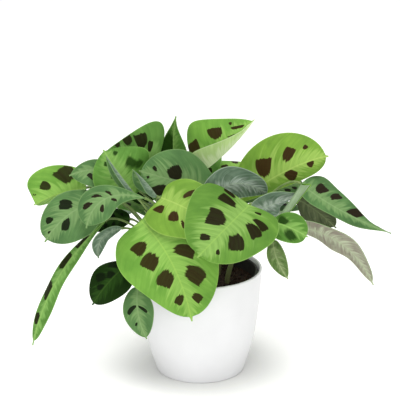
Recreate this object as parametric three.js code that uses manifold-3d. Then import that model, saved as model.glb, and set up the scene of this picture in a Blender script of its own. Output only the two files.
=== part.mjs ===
// A prayer plant (maranta) in a white cover pot. Millimetres, +Z up, the flat foot of the pot on Z = 0,
// the pot's axis on the Z axis, the showiest leaves towards -Y.
import * as THREE from "three";
import { mergeVertices } from "three/addons/utils/BufferGeometryUtils.js";
import Module from "manifold-3d";

const wasm = await Module();
wasm.setup();
const { Manifold, Mesh } = wasm;

// ---------- driving dimensions ----------
const POT_HEIGHT = 120;
const RIM_RADIUS = 68.6;
const FOOT_RADIUS = 48;
const POT_WALL = 2.8;
const POT_FLOOR = 4;
const LINER_TOP = 113;
const LINER_RADIUS = 64.4;
const LINER_FOOT_RADIUS = 43;
const LINER_WALL = 1.2;
const SOIL_LEVEL = 103;
const STEM_FOOT = 74;
const CLEARANCE = 0.3;
const BLADE_THICKNESS = 0.8;
const PETIOLE_RADIUS = 1.5;
const STEM_RADIUS = 3.2;

// ---------- leaves ----------
// name, shoot, tone, midrib (base, middle, tip), way the upper side faces, half widths, folds and curls in
// degrees, places of the widest point, bluntness, lobes at the base, wave of margins (height, number, start).
// Pairs are for the left and the right side seen from the petiole.
const LEAVES = [
  ["front_left", "front_left", "bright", [[-64, -56, 193], [-30, -88, 156], [-9, -98, 94]],
    [-0.15, -0.85, 0.5], [52, 53], [8, 8], [-25, -25], [0.42, 0.32], [0.47, 0.47], [4, 9], [1.5, 1.5, 0.2]],
  ["front_centre", "front", "bright", [[52, -74, 217], [27, -111, 204], [-3, -138, 181]],
    [-0.05, -0.7, 0.7], [47, 59], [8, 8], [-28, -28], [0.33, 0.17], [0.4, 0.34], [10, 16], [1.5, 1.6, 0.5]],
  ["front_inner", "front_left", "bright", [[-42, -50, 217], [-11, -68, 209], [29, -78, 189]],
    [0.05, -0.8, 0.6], [34, 37], [8, 8], [-25, -25], [0.42, 0.3], [0.42, 0.42], [6, 11], [1.5, 1.5, 0]],
  ["grey_middle", "centre", "grey", [[14, -1, 208], [-27, -16, 225], [-66, -36, 243]],
    [0, -0.9, 0.45], [34, 36], [10, 10], [-25, -25], [0.47, 0.47], [0.58, 0.58], [4, 4], [1.5, 1.4, 0.3]],
  ["top_left", "back_left", "green", [[-47, 20, 237], [-73, 8, 245], [-107, 0, 252]],
    [0, -0.95, 0.3], [36, 43], [10, 10], [-15, -15], [0.22, 0.19], [0.9, 0.8], [4, 4], [0, 1, 0]],
  ["top_spear", "back_left", "green", [[-27, 46, 221], [-30, 45, 252], [-27, 41, 282]],
    [-0.2, -0.9, 0.3], [19, 15], [45, 5], [-10, -10], [0.28, 0.28], [1.2, 1.2], [2, 2], [0, 1, 0]],
  ["top_centre", "back_right", "bright", [[0, 27, 220], [32, 20, 250], [60, 35, 280]],
    [-0.1, -0.85, 0.5], [53, 25], [5, 150], [-15, -10], [0.29, 0.16], [0.6, 1.2], [4, 4], [0, 1, 0]],
  ["top_right", "back_right", "bright", [[46, 12, 196], [96, -4, 234], [140, 2, 248]],
    [-0.1, -0.85, 0.5], [45, 18], [0, -14], [-10, -35], [0.42, 0.62], [0.48, 0.4], [4, 4], [2, 1.2, 0.2]],
  ["cup_right", "front", "grey", [[6, -30, 207], [38, -37, 229], [74, -30, 213]],
    [0.1, 0.85, 0.5], [37, 22], [20, 20], [-15, -15], [0.6, 0.47], [0.58, 0.58], [4, 4], [1.5, 2, 0.1]],
  ["low_right", "right", "grey", [[62, -40, 199], [84, -43, 210], [105, -32, 213]],
    [0.1, 0.7, 0.7], [24, 22], [10, 10], [-15, -15], [0.38, 0.38], [0.42, 0.42], [2, 2], [1, 1.5, 0.3]],
  ["right_long", "right", "green", [[109, -20, 223], [155, -35, 196], [208, -28, 169]],
    [0.35, -0.6, 0.75], [37, 12], [-5, -20], [-15, -15], [0.18, 0.3], [1.25, 0.9], [3, 3], [2.5, 1.5, 0.4]],
  ["right_under", "right", "grey", [[103, 0, 200], [124, -6, 190], [150, -2, 166]],
    [0.2, 0.85, 0.3], [20, 16], [10, 10], [-15, -15], [0.6, 0.6], [0.58, 0.58], [2, 2], [1.5, 1.5, 0.2]],
  ["right_low", "right", "grey", [[108, -36, 179], [156, -50, 162], [189, -42, 114]],
    [0.3, 0.8, 0.5], [17, 16], [10, 10], [-15, -15], [0.33, 0.33], [0.6, 0.6], [2, 2], [2, 1.8, 0]],
  ["right_small", "front", "green", [[76, -62, 193], [93, -76, 193], [114, -80, 183]],
    [0.1, -0.7, 0.7], [19, 19], [10, 10], [-15, -15], [0.55, 0.55], [0.4, 0.4], [2, 2], [1, 1.2, 0.1]],
  ["right_hang", "front", "dark", [[78, -64, 173], [82, -74, 156], [94, -74, 133]],
    [0.3, 0.9, 0.2], [11, 11], [10, 10], [-15, -15], [0.47, 0.47], [0.58, 0.58], [2, 2], [0, 1, 0]],
  ["left_far", "left", "bright", [[-125, -8, 215], [-154, -18, 211], [-181, -24, 200]],
    [-0.1, -0.9, 0.4], [20, 33], [-75, 5], [-10, -15], [0.5, 0.62], [0.36, 0.17], [4, 4], [1.5, 1.2, 0.3]],
  ["left_grey", "left", "grey", [[-96, -20, 206], [-136, -50, 202], [-167, -62, 171]],
    [-0.1, -0.85, 0.5], [32, 24], [10, 10], [-15, -15], [0.6, 0.62], [0.48, 0.45], [4, 4], [3, 1.6, 0.1]],
  ["left_spotted", "front_left", "grey", [[-60, -54, 218], [-101, -72, 223], [-121, -80, 193]],
    [-0.1, -0.85, 0.5], [20, 19], [10, 10], [-15, -15], [0.7, 0.7], [0.58, 0.58], [4, 4], [1.5, 1.3, 0.2]],
  ["left_tuck", "back_left", "green", [[-90, -8, 227], [-114, -20, 239], [-142, -22, 233]],
    [0, -0.8, 0.6], [22, 12], [10, 10], [-15, -15], [0.47, 0.47], [0.58, 0.58], [3, 3], [1, 1.2, 0.4]],
  ["left_ridge", "centre", "green", [[-71, -30, 215], [-88, -30, 239], [-105, -18, 261]],
    [-0.1, -0.65, 0.75], [30, 42], [-5, 0], [-15, -15], [0.52, 0.52], [0.58, 0.58], [4, 4], [1, 1.3, 0.3]],
  ["left_rolled", "front_left", "grey", [[-47, -40, 216], [-59, -42, 233], [-73, -40, 246]],
    [-0.9, -0.3, 0.3], [13, 13], [55, 55], [-15, -15], [0.47, 0.47], [0.58, 0.58], [1, 1], [0, 1, 0]],
  ["left_droop", "left", "green", [[-104, -26, 182], [-156, -42, 121], [-185, -45, 44]],
    [-0.3, -0.85, 0.4], [10, 10], [-30, -20], [-15, -15], [0.66, 0.6], [0.4, 0.45], [2, 2], [2, 2.2, 0.1]],
  ["left_curled", "left", "dark", [[-86, -32, 176], [-107, -40, 167], [-111, -36, 143]],
    [-0.3, 0.8, 0.4], [9, 10], [10, 10], [-15, -15], [0.47, 0.47], [0.58, 0.58], [1, 1], [0.8, 1.5, 0.2]],
  ["left_shade", "left", "dark", [[-78, -6, 178], [-100, -10, 177], [-122, -14, 168]],
    [0, -0.7, 0.7], [14, 15], [10, 10], [-15, -15], [0.47, 0.47], [0.58, 0.58], [2, 2], [1, 1.3, 0]],
  ["hang_dark", "front_left", "dark", [[-74, -58, 146], [-96, -68, 130], [-117, -66, 100]],
    [-0.4, -0.8, 0.4], [23, 21], [10, 10], [-15, -15], [0.47, 0.62], [0.58, 0.5], [3, 3], [1.5, 1.5, 0.2]],
  ["hang_small", "front_left", "green", [[-67, -74, 123], [-67, -82, 97], [-58, -82, 67]],
    [-0.2, -0.95, 0.2], [18, 16], [10, 10], [-15, -15], [0.47, 0.47], [0.58, 0.58], [2, 2], [1, 1.4, 0.3]],
  ["back_top_left", "back_left", "green", [[-26, 54, 194], [-44, 80, 216], [-66, 108, 210]],
    [-0.3, 0.45, 0.85], [30, 30], [8, 8], [-20, -20], [0.45, 0.45], [0.5, 0.5], [4, 4], [2, 1.5, 0.1]],
  ["back_top_right", "back_right", "bright", [[24, 40, 198], [44, 72, 214], [66, 106, 204]],
    [0.3, 0.45, 0.85], [31, 31], [8, 8], [-20, -20], [0.45, 0.45], [0.5, 0.5], [4, 4], [2, 1.4, 0.6]],
  ["back_middle", "back", "bright", [[2, 50, 180], [4, 92, 192], [8, 132, 170]],
    [0, 0.6, 0.8], [35, 35], [8, 8], [-20, -20], [0.45, 0.45], [0.5, 0.5], [4, 4], [2, 1.6, 0.3]],
  ["back_low_left", "back_left", "grey", [[-40, 50, 158], [-70, 86, 164], [-94, 116, 136]],
    [-0.4, 0.6, 0.7], [31, 31], [8, 8], [-20, -20], [0.45, 0.45], [0.5, 0.5], [4, 4], [2, 1.5, 0.8]],
  ["back_low_right", "back_right", "green", [[40, 50, 158], [72, 82, 162], [100, 108, 134]],
    [0.4, 0.6, 0.7], [31, 31], [8, 8], [-20, -20], [0.45, 0.45], [0.5, 0.5], [4, 4], [2, 1.4, 0.4]],
  ["back_hang", "back", "bright", [[-4, 70, 146], [-8, 98, 132], [-14, 108, 82]],
    [0, 0.9, 0.4], [33, 33], [8, 8], [-20, -20], [0.45, 0.45], [0.5, 0.5], [4, 4], [2, 1.6, 0.1]],
  ["back_side_left", "left", "green", [[-62, 24, 178], [-98, 42, 186], [-130, 58, 166]],
    [-0.5, 0.3, 0.8], [27, 27], [8, 8], [-20, -20], [0.45, 0.45], [0.5, 0.5], [3, 3], [2, 1.3, 0.5]],
  ["back_side_right", "right", "grey", [[62, 26, 176], [96, 44, 180], [126, 62, 158]],
    [0.5, 0.3, 0.8], [27, 27], [8, 8], [-20, -20], [0.45, 0.45], [0.5, 0.5], [3, 3], [2, 1.5, 0.9]],
  ["crown_left", "back_left", "grey", [[-46, 22, 200], [-66, 26, 204], [-88, 28, 200]],
    [0, -0.75, 0.6], [20, 20], [10, 10], [-20, -20], [0.45, 0.45], [0.52, 0.52], [3, 3], [1, 1.3, 0.2]],
  ["crown_right", "right", "green", [[60, 24, 188], [88, 28, 204], [116, 32, 206]],
    [0, -0.5, 0.85], [22, 22], [10, 10], [-20, -20], [0.45, 0.45], [0.52, 0.52], [3, 3], [1, 1.4, 0.6]],
  ["crown_middle", "back", "green", [[2, 50, 206], [4, 68, 226], [12, 92, 228]],
    [0.1, 0.2, 0.95], [21, 21], [12, 12], [-20, -20], [0.45, 0.45], [0.52, 0.52], [3, 3], [1, 1.3, 0.4]],
  ["left_folded", "front_left", "grey", [[-67, -45, 215], [-87, -46, 243], [-101, -42, 262]],
    [-0.85, -0.45, 0.25], [9, 9], [62, 62], [-10, -10], [0.4, 0.4], [0.7, 0.7], [1, 1], [0, 1, 0]],
];
// Foot and mouth of the rolled new leaf on the right.
const NEW_LEAF = [[88, -56, 198], [113, -50, 232]];
const LEAF_FIELDS = [
  "name", "shoot", "tone", "rib", "face", "half", "fold", "curl", "widest", "blunt", "lobe", "wave",
];

// ---------- shoots ----------
// name: where the stem leaves the soil and the head it grows to
const SHOOTS = {
  front: [[6, -30, 0], [10, -34, 136]],
  front_left: [[-22, -24, 0], [-28, -30, 132]],
  left: [[-38, -2, 0], [-46, -4, 134]],
  centre: [[-8, -6, 0], [-12, -8, 150]],
  right: [[30, -10, 0], [38, -12, 140]],
  back_left: [[-22, 18, 0], [-28, 22, 150]],
  back_right: [[20, 16, 0], [26, 18, 150]],
  back: [[0, 34, 0], [0, 42, 132]],
};

// ---------- colours ----------
const finish = (color, roughness, metalness = 0) =>
  new THREE.MeshStandardMaterial({ color, roughness, metalness });
const glaze = finish(0xf2f2ef, 0.3);
const blackPlastic = finish(0x1b1b1a, 0.6);
const peat = finish(0x2a211b, 0.95);
const paleStem = finish(0x8fae62, 0.55);
const TONES = {
  bright: finish(0x7db648, 0.5),
  green: finish(0x5f9a48, 0.5),
  grey: finish(0x7f9f7c, 0.55),
  dark: finish(0x33502a, 0.55),
};

// ---------- solids ----------
const V = (p) => new THREE.Vector3(...p);
const radians = THREE.MathUtils.degToRad;

function toManifold(geometry) {
  const bare = new THREE.BufferGeometry();
  bare.setAttribute("position", geometry.getAttribute("position").clone());
  if (geometry.index) bare.setIndex(geometry.index.clone());
  const welded = mergeVertices(bare, 1e-4);
  return new Manifold(new Mesh({
    numProp: 3,
    vertProperties: Float32Array.from(welded.getAttribute("position").array),
    triVerts: Uint32Array.from(welded.index.array),
  }));
}

function fromManifold(solid) {
  const mesh = solid.getMesh();
  const geometry = new THREE.BufferGeometry();
  geometry.setAttribute("position", new THREE.BufferAttribute(Float32Array.from(mesh.vertProperties), 3));
  geometry.setIndex([...mesh.triVerts]);
  return geometry;
}

// A closed profile of [radius, height] points turned about Z.
function turned(profile, sides) {
  const closed = [...profile, profile[0]].map(([r, z]) => new THREE.Vector2(r, z));
  const geometry = new THREE.LatheGeometry(closed, sides);
  geometry.rotateX(Math.PI / 2);
  return geometry;
}

// A round bar along a curve.
function tube(curve, radius, segments, sides) {
  const round = new THREE.Shape();
  round.absarc(0, 0, radius, 0, 2 * Math.PI, false);
  return new THREE.ExtrudeGeometry(round, {
    steps: segments, curveSegments: sides, extrudePath: curve, bevelEnabled: false,
  });
}

// ---------- leaf blades ----------
// A smooth curve through the three midrib points.
function ribPoint([a, b, c], t) {
  return V(a).multiplyScalar((2 * t - 1) * (t - 1))
    .addScaledVector(V(b), 4 * t * (1 - t))
    .addScaledVector(V(c), t * (2 * t - 1));
}

function ribTangent(rib, t) {
  return ribPoint(rib, t + 1e-4).sub(ribPoint(rib, t - 1e-4)).normalize();
}

// Half width along the blade as a share of the widest, ending in a short drip tip.
function outline(u, widest, blunt) {
  const power = Math.log(0.5) / Math.log(widest);
  const body = Math.sin(Math.PI * Math.min(u / 0.965, 1) ** power) ** blunt;
  const cusp = u > 0.8 ? Math.min(1 - u, 0.12) : 0;
  return Math.max(body, cusp);
}

// The middle surface of a blade: for every step along the midrib a row of points with their normals.
function bladeRows(leaf, along, across) {
  return along.map((u) => {
    const middle = ribPoint(leaf.rib, u);
    const tangent = ribTangent(leaf.rib, u);
    const face = V(leaf.face).addScaledVector(tangent, -V(leaf.face).dot(tangent)).normalize();
    const side = tangent.clone().cross(face);
    const [swing, waves, start] = leaf.wave;
    return across.map((v) => {
      const s = v > 0 ? 1 : 0;
      const q = Math.abs(v);
      const reach = Math.max(leaf.half[s] * outline(u, leaf.widest[s], leaf.blunt[s]), 0.8);
      const fold = radians(leaf.fold[s]);
      const curl = radians(leaf.curl[s]);
      const out = (Math.sin(fold + curl * q) - Math.sin(fold)) / curl;
      const lift = (Math.cos(fold) - Math.cos(fold + curl * q)) / curl;
      const lobe = leaf.lobe[s] * q * q * (3 - 2 * q) * Math.min(u / along[1], 1) * (1 - u) ** 6;
      const turn = 2 * Math.PI * (waves * u + start + 0.3 * s);
      const wave = swing * q * q * Math.sin(turn) * Math.sqrt(4 * u * (1 - u));
      const tilt = v === 0 ? radians(leaf.fold[1] - leaf.fold[0]) / 2 : Math.sign(v) * (fold + curl * q);
      return {
        point: middle.clone()
          .addScaledVector(side, Math.sign(v) * out * reach)
          .addScaledVector(face, lift * reach + wave)
          .addScaledVector(tangent, -lobe),
        normal: face.clone().multiplyScalar(Math.cos(tilt)).addScaledVector(side, -Math.sin(tilt)),
      };
    });
  });
}

// Thickens rows of points into one closed sheet, both faces split along the same diagonals.
function sheet(rows, thickness) {
  const n = rows.length;
  const m = rows[0].length;
  const positions = [thickness / 2, -thickness / 2].flatMap((offset) => rows.flat().flatMap(
    ({ point, normal }) => point.clone().addScaledVector(normal, offset).toArray()));
  const index = [];
  const top = (i, j) => i * m + j;
  const under = (i, j) => n * m + i * m + j;
  for (let i = 0; i + 1 < n; i++) {
    for (let j = 0; j + 1 < m; j++) {
      index.push(top(i, j), top(i, j + 1), top(i + 1, j + 1));
      index.push(top(i, j), top(i + 1, j + 1), top(i + 1, j));
      index.push(under(i, j), under(i + 1, j + 1), under(i, j + 1));
      index.push(under(i, j), under(i + 1, j), under(i + 1, j + 1));
    }
  }
  const wall = (a, b, c, d) => index.push(a, b, c, a, c, d);
  for (let i = 0; i + 1 < n; i++) {
    wall(top(i, 0), top(i + 1, 0), under(i + 1, 0), under(i, 0));
    wall(top(i + 1, m - 1), top(i, m - 1), under(i, m - 1), under(i + 1, m - 1));
  }
  for (let j = 0; j + 1 < m; j++) {
    wall(top(0, j + 1), top(0, j), under(0, j), under(0, j + 1));
    wall(top(n - 1, j), top(n - 1, j + 1), under(n - 1, j + 1), under(n - 1, j));
  }
  const geometry = new THREE.BufferGeometry();
  geometry.setAttribute("position", new THREE.Float32BufferAttribute(positions, 3));
  geometry.setIndex(index);
  return geometry;
}

// Small leaves are drawn with fewer facets.
function blade(leaf) {
  const width = leaf.half[0] + leaf.half[1];
  const along = width < 40
    ? [0, 0.06, 0.2, 0.35, 0.5, 0.65, 0.8, 0.92, 1]
    : [0, 0.03, 0.1, 0.22, 0.36, 0.5, 0.63, 0.76, 0.89, 1];
  const across = width < 70 ? [-1, -0.55, 0, 0.55, 1] : [-1, -0.68, -0.34, 0, 0.34, 0.68, 1];
  return sheet(bladeRows(leaf, along, across), BLADE_THICKNESS);
}

// A young leaf still rolled into a tube, a little wider at its open mouth.
function rolledLeaf() {
  const [base, mouth] = NEW_LEAF.map(V);
  const axis = mouth.clone().sub(base).normalize();
  const across = axis.clone().cross(V([0, -1, 0])).normalize();
  const forward = axis.clone().cross(across);
  const rows = [0, 0.3, 0.65, 1].map((u) => Array.from({ length: 15 }, (_, j) => {
    const turn = 2 * Math.PI * 1.2 * j / 14;
    const radius = (3.6 + 1.2 * u) * (1 - 0.3 * j / 14);
    const outward = across.clone().multiplyScalar(Math.cos(turn)).addScaledVector(forward, Math.sin(turn));
    const slant = 3 * u * Math.cos(turn);
    return {
      point: base.clone().lerp(mouth, u).addScaledVector(outward, radius).addScaledVector(axis, slant),
      normal: outward,
    };
  }));
  return sheet(rows, 0.6);
}

// ---------- stems ----------
// A petiole rises from its shoot, leans out and comes to its blade in line with the midrib.
function petioleCurve(leaf, start) {
  const tangent = ribTangent(leaf.rib, 0);
  const end = V(leaf.rib[0]).addScaledVector(tangent, -2 * CLEARANCE);
  const reach = start.distanceTo(end);
  const rise = start.clone().lerp(end, 0.12).add(V([0, 0, 0.28 * reach]));
  const before = end.clone().addScaledVector(tangent, -0.22 * reach);
  return new THREE.CubicBezierCurve3(start, rise, before, end);
}

function upright(radius, [x, y], bottom, top) {
  const bar = new THREE.CylinderGeometry(radius, radius, top - bottom, 10);
  bar.rotateX(Math.PI / 2);
  bar.translate(x, y, (top + bottom) / 2);
  return toManifold(bar);
}

// A stem straight through the soil, its leaning upper part and the petioles that leave it one above another.
function shoot(name, leaves) {
  const [foot, head] = SHOOTS[name];
  const surface = V(foot).setZ(SOIL_LEVEL + 5);
  const lean = new THREE.CubicBezierCurve3(surface, surface.clone().setZ(surface.z + 8), V(head), V(head));
  const petioles = leaves.map((leaf, i) => {
    const start = lean.getPoint(0.93 - 0.5 * i / leaves.length);
    return toManifold(tube(petioleCurve(leaf, start), PETIOLE_RADIUS, 7, 3));
  });
  const stem = upright(STEM_RADIUS, foot, STEM_FOOT, surface.z + 0.5);
  return fromManifold(Manifold.union([stem, toManifold(tube(lean, STEM_RADIUS, 4, 4)), ...petioles]));
}

// ---------- pot, liner and soil ----------
function pot() {
  const inner = (radius, height) => [radius - POT_WALL, height];
  return turned([
    [0, 0], [FOOT_RADIUS - 1.5, 0], [FOOT_RADIUS + 1.8, 2.2],
    [54.2, 16.5], [57.6, 27.5], [60.8, 41], [65.9, 80],
    [RIM_RADIUS, POT_HEIGHT - 1.6], [RIM_RADIUS - 0.5, POT_HEIGHT - 0.4], [RIM_RADIUS - 1.4, POT_HEIGHT],
    [RIM_RADIUS - 2.3, POT_HEIGHT - 0.4], inner(RIM_RADIUS, POT_HEIGHT - 1.6), inner(65.9, 80),
    inner(60.8, 41), inner(53.6, 16.5), [FOOT_RADIUS - 4, POT_FLOOR], [0, POT_FLOOR],
  ], 48);
}

function liner() {
  const foot = POT_FLOOR + CLEARANCE;
  const lip = LINER_TOP - 4;
  return turned([
    [0, foot], [LINER_FOOT_RADIUS, foot], [LINER_RADIUS - 2, lip], [LINER_RADIUS, lip],
    [LINER_RADIUS, LINER_TOP], [LINER_RADIUS - 3, LINER_TOP], [LINER_RADIUS - 2 - LINER_WALL, lip - 2],
    [LINER_FOOT_RADIUS - LINER_WALL, foot + LINER_WALL], [0, foot + LINER_WALL],
  ], 48);
}

// The same scattered number between 0 and 1 for the same seed.
function scatter(seed) {
  const wave = Math.sin(seed * 127.1 + 11.7) * 43758.5453;
  return wave - Math.floor(wave);
}

// Peat filling the liner, lumpy on top, with a plain hole for every stem.
function soil() {
  const bottom = POT_FLOOR + LINER_WALL + 2 * CLEARANCE;
  const rings = [12, 24, 36, 46, 54, 60.4 - CLEARANCE];
  const sides = 24;
  const positions = [0, 0, SOIL_LEVEL + 3];
  for (const [k, radius] of rings.entries()) {
    for (let i = 0; i < sides; i++) {
      const angle = 2 * Math.PI * i / sides;
      const last = k === rings.length - 1;
      const height = SOIL_LEVEL + (last ? 0 : 3 * scatter(i + 31 * k));
      positions.push(radius * Math.cos(angle), radius * Math.sin(angle), height);
    }
  }
  for (let i = 0; i < sides; i++) {
    const angle = 2 * Math.PI * i / sides;
    const radius = LINER_FOOT_RADIUS - LINER_WALL - 2 * CLEARANCE;
    positions.push(radius * Math.cos(angle), radius * Math.sin(angle), bottom);
  }
  positions.push(0, 0, bottom);
  const index = [];
  const at = (k, i) => 1 + k * sides + i % sides;
  for (let i = 0; i < sides; i++) {
    index.push(0, at(0, i), at(0, i + 1));
    for (let k = 0; k < rings.length; k++) {
      index.push(at(k, i), at(k + 1, i), at(k + 1, i + 1));
      index.push(at(k, i), at(k + 1, i + 1), at(k, i + 1));
    }
    index.push(1 + (rings.length + 1) * sides, at(rings.length, i + 1), at(rings.length, i));
  }
  const geometry = new THREE.BufferGeometry();
  geometry.setAttribute("position", new THREE.Float32BufferAttribute(positions, 3));
  geometry.setIndex(index);
  const holes = Object.values(SHOOTS).map(([foot]) =>
    upright(STEM_RADIUS + CLEARANCE, foot, STEM_FOOT - CLEARANCE, SOIL_LEVEL + 8));
  return fromManifold(toManifold(geometry).subtract(Manifold.union(holes)));
}

// ---------- assembly ----------
const group = new THREE.Group();

function add(name, geometry, material) {
  const mesh = new THREE.Mesh(geometry, material);
  mesh.name = name;
  group.add(mesh);
}

const leaves = LEAVES.map((row) => Object.fromEntries(LEAF_FIELDS.map((field, i) => [field, row[i]])));

add("pot", pot(), glaze);
add("nursery_pot", liner(), blackPlastic);
add("soil", soil(), peat);
for (const name of Object.keys(SHOOTS)) {
  add(`shoot_${name}`, shoot(name, leaves.filter((leaf) => leaf.shoot === name)), paleStem);
}
for (const leaf of leaves) add(`leaf_${leaf.name}`, blade(leaf), TONES[leaf.tone]);

add("leaf_new_rolled", rolledLeaf(), TONES.bright);

export default group;
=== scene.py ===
"""A prayer plant (maranta) in a white cover pot.

Metres in the scene, millimetres in the tables below. The foot of the pot stands on Z = 0 with its axis on the
Z axis, and the showiest leaves face -Y.
"""

import math
import random

import bpy
import numpy as np
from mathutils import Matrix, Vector, noise


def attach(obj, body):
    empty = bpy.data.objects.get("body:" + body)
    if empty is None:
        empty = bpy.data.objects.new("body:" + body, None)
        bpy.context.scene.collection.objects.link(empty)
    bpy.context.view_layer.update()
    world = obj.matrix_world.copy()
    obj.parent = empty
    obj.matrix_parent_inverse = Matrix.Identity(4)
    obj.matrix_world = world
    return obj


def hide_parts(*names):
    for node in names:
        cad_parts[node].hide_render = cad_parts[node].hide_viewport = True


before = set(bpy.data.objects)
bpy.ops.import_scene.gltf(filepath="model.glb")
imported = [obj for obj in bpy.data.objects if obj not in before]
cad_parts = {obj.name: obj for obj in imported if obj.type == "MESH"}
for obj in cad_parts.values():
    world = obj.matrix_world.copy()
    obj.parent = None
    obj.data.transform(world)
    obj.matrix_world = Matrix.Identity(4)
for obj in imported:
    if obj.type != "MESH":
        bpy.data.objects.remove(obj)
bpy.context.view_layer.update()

MM = 0.001
BODY = "root"

# ---------- sizes, mm ----------
CAMERA_PLACE = (-0.4, -2000, 861)
CAMERA_TARGET = (-0.4, 0, 198)
CAMERA_LENS = 172.4
POT_HEIGHT = 120
RIM_RADIUS = 68.6
FOOT_RADIUS = 48
POT_WALL = 2.8
POT_FLOOR = 4
LINER_TOP = 117
LINER_SHOULDER = 109
LINER_RADIUS = 64.4
LINER_FOOT_RADIUS = 43
LINER_WALL = 1.2
LIP_RADIUS = 1.5
SOIL_LEVEL = 103
SOIL_RADIUS = 60.1
STEM_FOOT = 74
CLEARANCE = 0.3
BLADE_THICKNESS = 0.5
PETIOLE_RADIUS = 1.4
STEM_RADIUS = 3.1
KNEE_LENGTH = 12
LATERAL_SPACING = 7
LATERAL_CURVE = 0.15
FINE_VEIN_SPACING = 1.4
FINE_STREAK_LENGTH = 30
BROAD_STREAK_SPACING = 3.5
BROAD_STREAK_LENGTH = 45
ROLL_WIDTH = 26
# painted contact shadow: the floor's glow starts at this distance from the pot's axis and is full at the next
GLOW_STARTS = 46
GLOW_FULL = 124
TURNED_SIDES = 128
CRUMBS = 320
FIBRES = 70

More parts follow.
